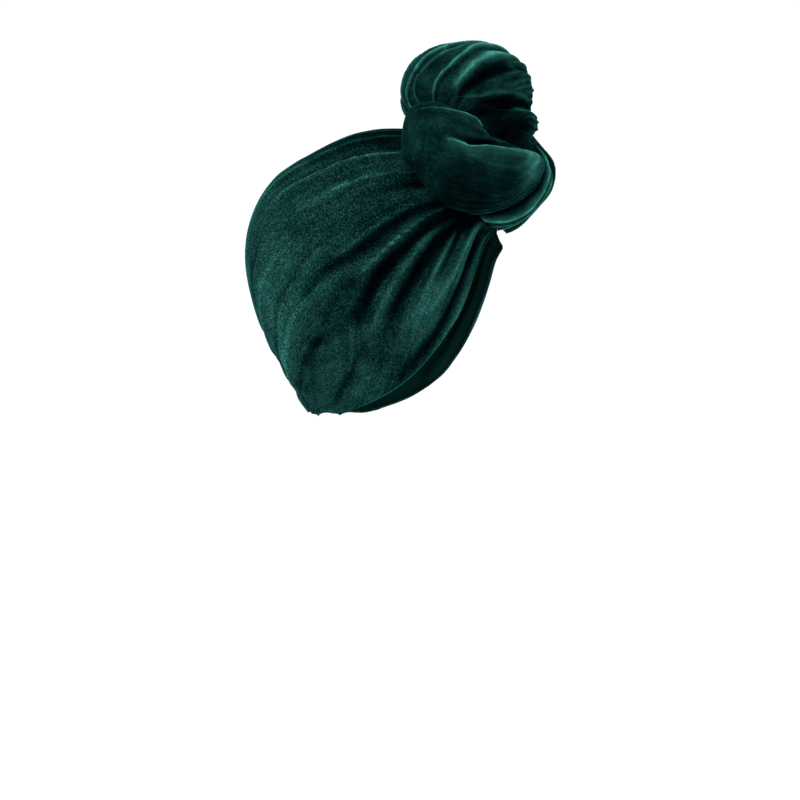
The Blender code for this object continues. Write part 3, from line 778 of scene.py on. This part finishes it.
def face_outwards(piece):
    """Turns all faces of a closed mesh of triangles outwards."""
    corners = np.empty(len(piece.data.loops), np.int32)
    piece.data.loops.foreach_get("vertex_index", corners)
    sides = places_of(piece)[corners.reshape(-1, 3)]
    if np.einsum("ij,ij->", sides[:, 0], np.cross(sides[:, 1], sides[:, 2])) < 0:
        piece.data.flip_normals()


def point_normals(piece):
    normals = np.empty(len(piece.data.vertices) * 3, np.float32)
    piece.data.vertex_normals.foreach_get("vector", normals)
    return normals.reshape(-1, 3).astype(float)


def write_attribute(piece, name, values):
    kind, field = ("FLOAT_VECTOR", "vector") if values.ndim == 2 else ("FLOAT", "value")
    attribute = piece.data.attributes.new(name, kind, "POINT")
    attribute.data.foreach_set(field, values.astype(np.float32).ravel())


def tone_with_painted_light(lightness, shade):
    """The pile's lightness with the painted light and shade of its folds and patches added."""
    return lightness + NAP_BY_PAINTED_SHADE * np.clip(shade, -SHADE_LIMIT, SHADE_LIMIT)


def settle(piece):
    """Applies the piece's modifiers."""
    bpy.context.view_layer.update()
    graph = bpy.context.evaluated_depsgraph_get()
    made = bpy.data.meshes.new_from_object(piece.evaluated_get(graph))
    old = piece.data
    piece.modifiers.clear()
    piece.data = made
    bpy.data.meshes.remove(old)
    piece.data.shade_smooth()


def flat_grid(ribs, stations):
    """A flat sheet of quads from -1 to 1."""
    mesh = bmesh.new()
    bmesh.ops.create_grid(mesh, x_segments=ribs, y_segments=stations, size=1.0)
    return mesh


def wound_ball(ribs, rings):
    """A ball of triangles: a sheet wound round, welded along its seam and gathered at its two ends."""
    mesh = flat_grid(ribs, rings)
    for vertex in mesh.verts:
        turn, climb = math.pi * vertex.co.x, math.pi / 2 * vertex.co.y
        vertex.co = (math.cos(turn) * math.cos(climb), math.sin(turn) * math.cos(climb), math.sin(climb))
    edges = [vertex for vertex in mesh.verts if vertex.is_boundary]
    bmesh.ops.remove_doubles(mesh, verts=edges, dist=WELD)
    bmesh.ops.triangulate(mesh, faces=mesh.faces, quad_method="FIXED")
    return mesh


def build_head_cap(velvet, back):
    """The cap: a sheet lofted from the knot to the nape, folded, its hem turned in, with its wall inwards."""
    cap = object_from("head_cap_velvet", flat_grid(CAP_RIBS, CAP_STATIONS))
    flat = places_of(cap)
    across = flat[:, 0]
    along, left = even_along((flat[:, 1] + 1) / 2)
    girth = cap_girth(along)
    sheet = np.stack((across * FOLD_WANDER_SHEET[0], along * FOLD_WANDER_SHEET[1], across * 0), axis=1)
    strayed = across + FOLD_WANDER * drawn_noise(sheet, *CAP_WANDER)
    width = FOLD_WIDTH / 2 / girth
    relief, shade = add_folds(CAP_FOLDS, along, strayed, width, HIGHLIGHT_LINE / girth, CAP_FOLD_FADE)
    lines = np.stack((fan_line(across, along) * LINES_WIDE, across * 0, along * LINES_LONG), axis=1)
    creases = drawn_noise(lines, *CAP_CREASES) * np.interp(along, *CAP_TENSION)
    swell = drawn_noise(lines, *CAP_SWELL)
    scallop, reach = nape_gathers(across, girth, left)
    notch = (1 - scallop) * reach
    relief = np.clip(relief, *FOLD_LIMITS) * FOLD_DEPTH - SCALLOP_HEIGHT * notch
    relief = evened(relief, across, flat[:, 1], FOLD_PASSES)
    relief += creases * CAP_CREASE_HEIGHT + swell * CAP_SWELL_HEIGHT
    turned = np.clip((np.abs(across) - (1 - HEM_SHARE)) / HEM_SHARE, 0, 1)
    relief -= HEM_TURN * turned**2 * np.interp(along, HEM_TURN_ENDS, (1, 0))
    rounding = np.interp(along, (NAPE_ROUNDING_START, 1), (0, 1)) ** NAPE_ROUNDING_POWER
    drawn_in = across * (1 - NAPE_ROUNDING * rounding)
    places = cap_surface(drawn_in, along) + cap_normals(drawn_in, along) * (relief - CAP_INSET)[:, None]
    corner = np.interp(np.abs(across), CORNER_ACROSS, (0, 1)) * np.interp(along, CORNER_ALONG, (0, 1))
    soft = np.stack([evened(side, across, flat[:, 1], CORNER_PASSES) for side in places.T], axis=1)
    move_points(cap, places + (soft - places) * corner[:, None])
    # Painted light and shade: from the folds and patches, following the creases and swell, and darker in the
    # nape's notches.
    tone_and_painted_light = tone_with_painted_light(CAP_NAP, shade + add_painted_light_patches(CAP_PAINTED_LIGHT, along, across))
    tone_and_painted_light += CAP_PAINTED_LIGHT_BY_CREASE * creases + CAP_PAINTED_LIGHT_BY_SWELL * swell + CAP_PAINTED_SHADE_IN_NOTCH * notch
    crush = np.interp(along, *CRUSH_ALONG) * np.interp(np.abs(across), *CRUSH_ACROSS)
    write_attribute(cap, "tone_and_painted_light", tone_and_painted_light)
    write_attribute(cap, "lines", lines)
    write_attribute(cap, "crush", crush)
    cap.data.materials.append(velvet)
    cap.data.materials.append(back)
    face_away_from(cap, Vector(CAP_INSIDE))
    wall = cap.modifiers.new("wall", "SOLIDIFY")
    wall.thickness = CAP_WALL
    wall.offset = -1.0
    wall.material_offset = 1
    settle(cap)
    return cap


def face_away_from(piece, middle):
    """Turns an open sheet's faces away from a point inside it."""
    data = piece.data
    total = sum((Vector(p.center) - middle).dot(p.normal) * p.area for p in data.polygons)
    if total < 0:
        data.flip_normals()


def helper_from(name, mesh):
    """A cutter, which isn't shown."""
    helper = object_from(name, mesh)
    face_outwards(helper)
    helper.hide_render = True
    return helper


def cap_seat(grow):
    """Helper solid: the cap's envelope grown by the gap and closed to a point inside the head."""
    mesh = flat_grid(*SEAT_GRID)
    bmesh.ops.triangulate(mesh, faces=mesh.faces, quad_method="FIXED")
    rim = [edge for edge in mesh.edges if edge.is_boundary]
    border = bmesh.ops.extrude_edge_only(mesh, edges=rim)["geom"]
    border = [item for item in border if isinstance(item, bmesh.types.BMVert)]
    bmesh.ops.scale(mesh, vec=[1 + SEAT_BORDER_SHARE] * 3, verts=border)
    flat = np.array([vertex.co[:] for vertex in mesh.verts])
    across, along = flat[:, 0], (flat[:, 1] + 1) / 2
    for vertex, place in zip(mesh.verts, cap_surface(across, along) + cap_normals(across, along) * grow):
        vertex.co = place
    rim = [edge for edge in mesh.edges if edge.is_boundary]
    middle = mesh.verts.new((0.0, 0.0, BROW_MIDDLE_Z_SHARE * CAP_HEIGHT))
    for edge in rim:
        mesh.faces.new((*edge.verts, middle))
    bmesh.ops.recalc_face_normals(mesh, faces=mesh.faces)
    return helper_from("cap_seat", mesh)


def brow_form(grow):
    """Helper solid: the brow that the knot rests against below the cap's front."""
    mesh = wound_ball(*BROW_GRID)
    halves = (CAP_WIDTH / 2, BROW_HALF_LENGTH_SHARE * CAP_LENGTH, BROW_HALF_HEIGHT_SHARE * CAP_HEIGHT)
    middle = (0.0, BROW_MIDDLE_Y_SHARE * CAP_LENGTH, BROW_MIDDLE_Z_SHARE * CAP_HEIGHT)
    bmesh.ops.scale(mesh, vec=[half + grow for half in halves], verts=mesh.verts)
    bmesh.ops.translate(mesh, vec=middle, verts=mesh.verts)
    return helper_from("brow_form", mesh)


def gathered_directions(flat, gathers):
    """Moves a sphere's points so that its two poles come to the lobe's two gathers."""
    first, second = (Vector(g).normalized() for g in gathers)
    middle = (first + second).normalized()
    along = (second - first).normalized()
    side = middle.cross(along)
    reach = math.tan(first.angle(second) / 4)
    top = flat[:, 0] + 1j * flat[:, 1]
    under = 1 + flat[:, 2] + 0j
    at_pole = np.abs(under) < POLE
    top[at_pole], under[at_pole] = 1, 0
    above = -reach * (under + top)
    below = under - top
    product = above * np.conj(below)
    total = np.abs(above) ** 2 + np.abs(below) ** 2
    lift = np.abs(below) ** 2 - np.abs(above) ** 2
    ways = np.outer(2 * product.real, along) + np.outer(2 * product.imag, side) + np.outer(lift, middle)
    return ways / total[:, None]


def lobe_middle(lobe):
    across, back, up = lobe["middle"]
    return np.array(
        (
            across * KNOT_WIDTH / 2,
            -KNOT_FORWARD_SHARE * CAP_LENGTH + back * KNOT_SIZE,
            -KNOT_DOWN_SHARE * CAP_HEIGHT + up * KNOT_SIZE,
        )
    )


def gather_pleats(flat, rib, pleats):
    """Small pleats that run into the two gathers, from -1 to 1."""
    bend = GATHER_BEND * drawn_noise(flat, *GATHER_WANDER)
    swell = GATHER_UNEVEN[0] + GATHER_UNEVEN[1] * drawn_noise(flat, *GATHER_SWELL)
    relief = np.zeros(len(flat))
    for side, (count, strength) in zip((1, -1), pleats):
        near = np.interp(flat[:, 2] * side, *GATHER_REACH)
        wave = np.cos(np.radians(rib) * count + bend + GATHER_TWIST * near)
        relief += near * strength * swell * (np.abs(wave) ** GATHER_PLEAT_FULLNESS * np.sign(wave))
    return relief


def build_lobe(name, lobe, velvet):
    """A wound lobe: a sphere drawn to its gathers, fitted to its outline and folded."""
    piece = object_from(name + "_velvet", wound_ball(*lobe["meshes"]))
    flat = places_of(piece)
    flat /= np.linalg.norm(flat, axis=1, keepdims=True)
    rib = np.degrees(np.arctan2(flat[:, 1], flat[:, 0])) % FULL_TURN
    ways = gathered_directions(flat, lobe["gathers"])
    half = lobe["width"] * np.where(ways[:, 0] < 0, *lobe["halves"])
    angle = np.degrees(np.arctan2(ways[:, 2], -ways[:, 1])) % FULL_TURN
    reach = lobe["size"] / 2 * curve_values(lobe["outline"], "angle", "reach", angle, FULL_TURN)
    places = np.stack((half * ways[:, 0], reach * ways[:, 1], reach * ways[:, 2]), axis=1)
    lean_back, lean_up = lobe["lean"]
    places[:, 0] += lean_back * places[:, 1] + lean_up * places[:, 2]
    height = flat[:, 2]
    strayed = rib + RIB_WANDER * drawn_noise(flat, *LOBE_WANDER)
    relief, shade = add_folds(lobe["folds"], height, strayed, 1.0, HIGHLIGHT_LINE_TURN, LOBE_FOLD_FADE, FULL_TURN)
    relief *= np.sqrt(np.clip(1 - height**2, 0, 1))
    pleats = gather_pleats(flat, rib, lobe["pleats"])
    creases = drawn_noise(flat, *LOBE_CREASES)
    swell = drawn_noise(flat, *LOBE_SWELL)
    dimple = np.interp(-height, (GATHER_DIMPLE_START, 1), (0, 1)) ** 2
    raised = relief * PLEAT_HEIGHT + pleats * GATHER_PLEAT_HEIGHT + creases * LOBE_CREASE_HEIGHT
    raised += swell * LOBE_SWELL_HEIGHT - LOBE_INSET - GATHER_DIMPLE * dimple
    outward = places / np.linalg.norm(places, axis=1, keepdims=True)
    move_points(piece, places + outward * raised[:, None] + lobe_middle(lobe))
    face_outwards(piece)
    # Painted light and shade: from the folds, patches, pleats, creases and swell, lighter on top and darker
    # in the second gather.
    tone_and_painted_light = tone_with_painted_light(lobe["tone_and_painted_light"], shade + add_painted_light_patches(lobe["painted_light_patches"], height, rib, FULL_TURN))
    tone_and_painted_light += LOBE_PAINTED_LIGHT_BY_PLEAT * pleats + LOBE_PAINTED_LIGHT_BY_CREASE * creases + LOBE_PAINTED_LIGHT_BY_SWELL * swell
    tone_and_painted_light += LOBE_PAINTED_LIGHT_ON_TOP * ways[:, 2]
    tone_and_painted_light += LOBE_PAINTED_SHADE_IN_GATHER * np.interp(-height, (GATHER_PAINTED_SHADE_START, 1), (0, 1))
    write_attribute(piece, "tone_and_painted_light", tone_and_painted_light)
    write_attribute(piece, "lines", flat * LOBE_LINES)
    write_attribute(piece, "crush", np.full(len(flat), KNOT_CRUSH))
    piece.data.materials.append(velvet)
    return piece


def room_of(piece):
    """A cutter of the piece's shape, grown by the gap."""
    room = piece.copy()
    room.data = piece.data.copy()
    room.name = piece.name + "_room"
    bpy.context.scene.collection.objects.link(room)
    move_points(room, places_of(room) + point_normals(room) * PIECE_GAP)
    room.hide_render = True
    return room


def cut(piece, cutters):
    for cutter in cutters:
        modifier = piece.modifiers.new("clear_of_" + cutter.name, "BOOLEAN")
        modifier.operation = "DIFFERENCE"
        modifier.solver = "MANIFOLD"
        modifier.object = cutter


def build_knot(velvet):
    """The lobes in order; each one is cut clear of the cap, the brow and the lobes before it."""
    cutters = [cap_seat(PIECE_GAP), brow_form(PIECE_GAP)]
    pieces = {}
    for name, lobe in LOBES.items():
        piece = build_lobe(name, lobe, velvet)
        room = room_of(piece)
        cut(piece, cutters)
        settle(piece)
        piece.data.set_sharp_from_angle(angle=CUT_EDGE_ANGLE)
        cutters.append(room)
        pieces[name] = piece
    for cutter in cutters:
        bpy.data.objects.remove(cutter, do_unlink=True)
    return pieces


def set_inputs(target, **sockets):
    for name, value in sockets.items():
        target.inputs[name.replace("_", " ")].default_value = value


def node(tree, kind, place, **sockets):
    made = tree.nodes.new(kind)
    made.location = place
    set_inputs(made, **sockets)
    return made


def attribute_node(tree, name, place):
    made = node(tree, "ShaderNodeAttribute", place)
    made.attribute_name = name
    return made


def maths_node(tree, operation, place, *inputs):
    """A node that works out a value. inputs: numbers, or the sockets that they come from."""
    made = node(tree, "ShaderNodeMath", place)
    made.operation = operation
    for socket, given in zip(made.inputs, inputs):
        if isinstance(given, float):
            socket.default_value = given
        else:
            tree.links.new(given, socket)
    return made.outputs[0]


def noise_on_lines(tree, stretch, place, **sockets):
    """Noise drawn out along the lines of the cloth."""
    x, y = place
    lines = attribute_node(tree, "lines", (x - 400, y))
    mapping = node(tree, "ShaderNodeMapping", (x - 200, y), Scale=stretch)
    noise = node(tree, "ShaderNodeTexNoise", place, **sockets)
    tree.links.new(lines.outputs["Vector"], mapping.inputs["Vector"])
    tree.links.new(mapping.outputs["Vector"], noise.inputs["Vector"])
    return noise


def add_bump(tree, shader, height, **sockets):
    bump = node(tree, "ShaderNodeBump", (-250, -250), **sockets)
    tree.links.new(height, bump.inputs["Height"])
    tree.links.new(bump.outputs["Normal"], shader.inputs["Normal"])


def plain_material(name, **sockets):
    material = bpy.data.materials.new(name)
    material.use_nodes = True
    shader = material.node_tree.nodes["Principled BSDF"]
    set_inputs(shader, **sockets)
    return material, material.node_tree, shader


def velvet_material():
    """Crushed velvet: dark pile, lighter or darker by the painted light and shade each piece carries, with
    fine streaks and speckles.
    """
    material, tree, shader = plain_material(
        "crushed_velvet",
        Roughness=0.9,
        Specular_IOR_Level=0.0,
        Sheen_Weight=0.20,
        Sheen_Roughness=0.22,
        Sheen_Tint=(0.03, 0.74, 0.66, 1.0),
    )
    links = tree.links
    tone_and_painted_light = attribute_node(tree, "tone_and_painted_light", (-1300, 300))
    crush = attribute_node(tree, "crush", (-1100, -750))
    where = node(tree, "ShaderNodeTexCoord", (-1500, -300))
    streaks = noise_on_lines(tree, (1.0, 1.0, 0.06), (-1100, 0), Scale=420.0, Detail=3.0, Roughness=0.6)
    speckle = node(tree, "ShaderNodeTexNoise", (-1100, -250), Scale=760.0, Detail=3.0, Roughness=0.8)
    clouds = node(tree, "ShaderNodeTexNoise", (-1100, -500), Scale=55.0, Detail=4.0, Roughness=0.6)
    links.new(where.outputs["Object"], speckle.inputs["Vector"])
    links.new(where.outputs["Object"], clouds.inputs["Vector"])

    # The pile's tone with its painted light and shade; random streaks, speckles and clouds are added.
    total = tone_and_painted_light.outputs["Fac"]
    for texture, amount, y in ((streaks, STREAKS, 0), (speckle, SPECKLE, -250), (clouds, CLOUDS, -500)):
        part = maths_node(tree, "SUBTRACT", (-850, y), texture.outputs["Fac"], 0.5)
        if texture == speckle:
            part = maths_node(tree, "MULTIPLY", (-780, y - 120), part, crush.outputs["Fac"])
        total = maths_node(tree, "MULTIPLY_ADD", (-700, y), part, amount, total)
    colours = node(tree, "ShaderNodeValToRGB", (-450, 300))
    stops = colours.color_ramp.elements
    while len(stops) < len(PILE_COLOURS_WITH_PAINTED_LIGHT):
        stops.new(0.5)
    for stop, (position, colour) in zip(stops, PILE_COLOURS_WITH_PAINTED_LIGHT):
        stop.position = position
        stop.color = (*colour, 1.0)
    links.new(total, colours.inputs["Fac"])
    links.new(colours.outputs["Color"], shader.inputs["Base Color"])

    pile = maths_node(tree, "ADD", (-450, -250), speckle.outputs["Fac"], streaks.outputs["Fac"])
    add_bump(tree, shader, pile, Strength=0.35, Distance=0.0004)
    return material


def velvet_back_material():
    """The matte knitted back of the velvet, seen inside the cap."""
    material, tree, shader = plain_material("velvet_back", Roughness=0.95, Specular_IOR_Level=0.0)
    wales = noise_on_lines(tree, (1.0, 0.25, 1.0), (-700, 0), Scale=900.0, Detail=2.0, Roughness=0.6)
    colours = node(tree, "ShaderNodeValToRGB", (-450, 0))
    darkest, lightest = colours.color_ramp.elements
    darkest.color = (0.0012, 0.009, 0.008, 1.0)
    lightest.color = (0.0035, 0.026, 0.022, 1.0)
    tree.links.new(wales.outputs["Fac"], colours.inputs["Fac"])
    tree.links.new(colours.outputs["Color"], shader.inputs["Base Color"])
    add_bump(tree, shader, wales.outputs["Fac"], Strength=0.3, Distance=0.0003)
    return material


def place_camera():
    data = bpy.data.cameras.new("photo_camera")
    data.lens = LENS
    data.sensor_width = SENSOR
    data.clip_end = CAMERA_SIGHT
    camera = bpy.data.objects.new("photo_camera", data)
    back = Vector((math.sin(CAMERA_AZIMUTH), -math.cos(CAMERA_AZIMUTH), 0.0))
    camera.location = CAMERA_TARGET + back * (FRAME_WIDTH * LENS / SENSOR)
    camera.rotation_mode = "QUATERNION"
    camera.rotation_quaternion = (-back).to_track_quat("-Z", "Y")
    bpy.context.scene.collection.objects.link(camera)
    bpy.context.scene.camera = camera


def soft_light(name, place, size, energy):
    data = bpy.data.lights.new(name, "AREA")
    data.shape = "DISK"
    data.size = size
    data.energy = energy
    light = bpy.data.objects.new(name, data)
    light.location = place
    light.rotation_mode = "QUATERNION"
    light.rotation_quaternion = (CAMERA_TARGET - Vector(place)).to_track_quat("-Z", "Y")
    bpy.context.scene.collection.objects.link(light)


def build_stage():
    """A plain white floor, and soft white light all round."""
    mesh = bmesh.new()
    bmesh.ops.create_circle(mesh, cap_ends=True, radius=8.0, segments=96)
    bmesh.ops.translate(mesh, vec=(0, 0, FLOOR_Z), verts=mesh.verts)
    floor = object_from("floor", mesh)
    paint, *_ = plain_material("white_floor", Base_Color=(0.97, 0.97, 0.97, 1.0), Roughness=0.9)
    floor.data.materials.append(paint)
    world = bpy.data.worlds.new("white_room")
    world.use_nodes = True
    set_inputs(world.node_tree.nodes["Background"], Color=(1.0, 1.0, 1.0, 1.0), Strength=1.06)
    bpy.context.scene.world = world
    bpy.context.scene.view_settings.view_transform = "Standard"
    soft_light("key", (-1.1, 0.5, 0.9), 0.7, 14.0)
    soft_light("front", (-0.7, -1.4, 0.4), 0.8, 8.0)
    soft_light("far", (1.3, 0.3, 0.7), 0.9, 8.0)


def main():
    velvet = velvet_material()
    back = velvet_back_material()
    cap = build_head_cap(velvet, back)
    knot = build_knot(velvet)
    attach(cap, "root")
    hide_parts("head_cap")
    for name, piece in knot.items():
        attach(piece, "root")
        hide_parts(name)
    build_stage()
    place_camera()


main()
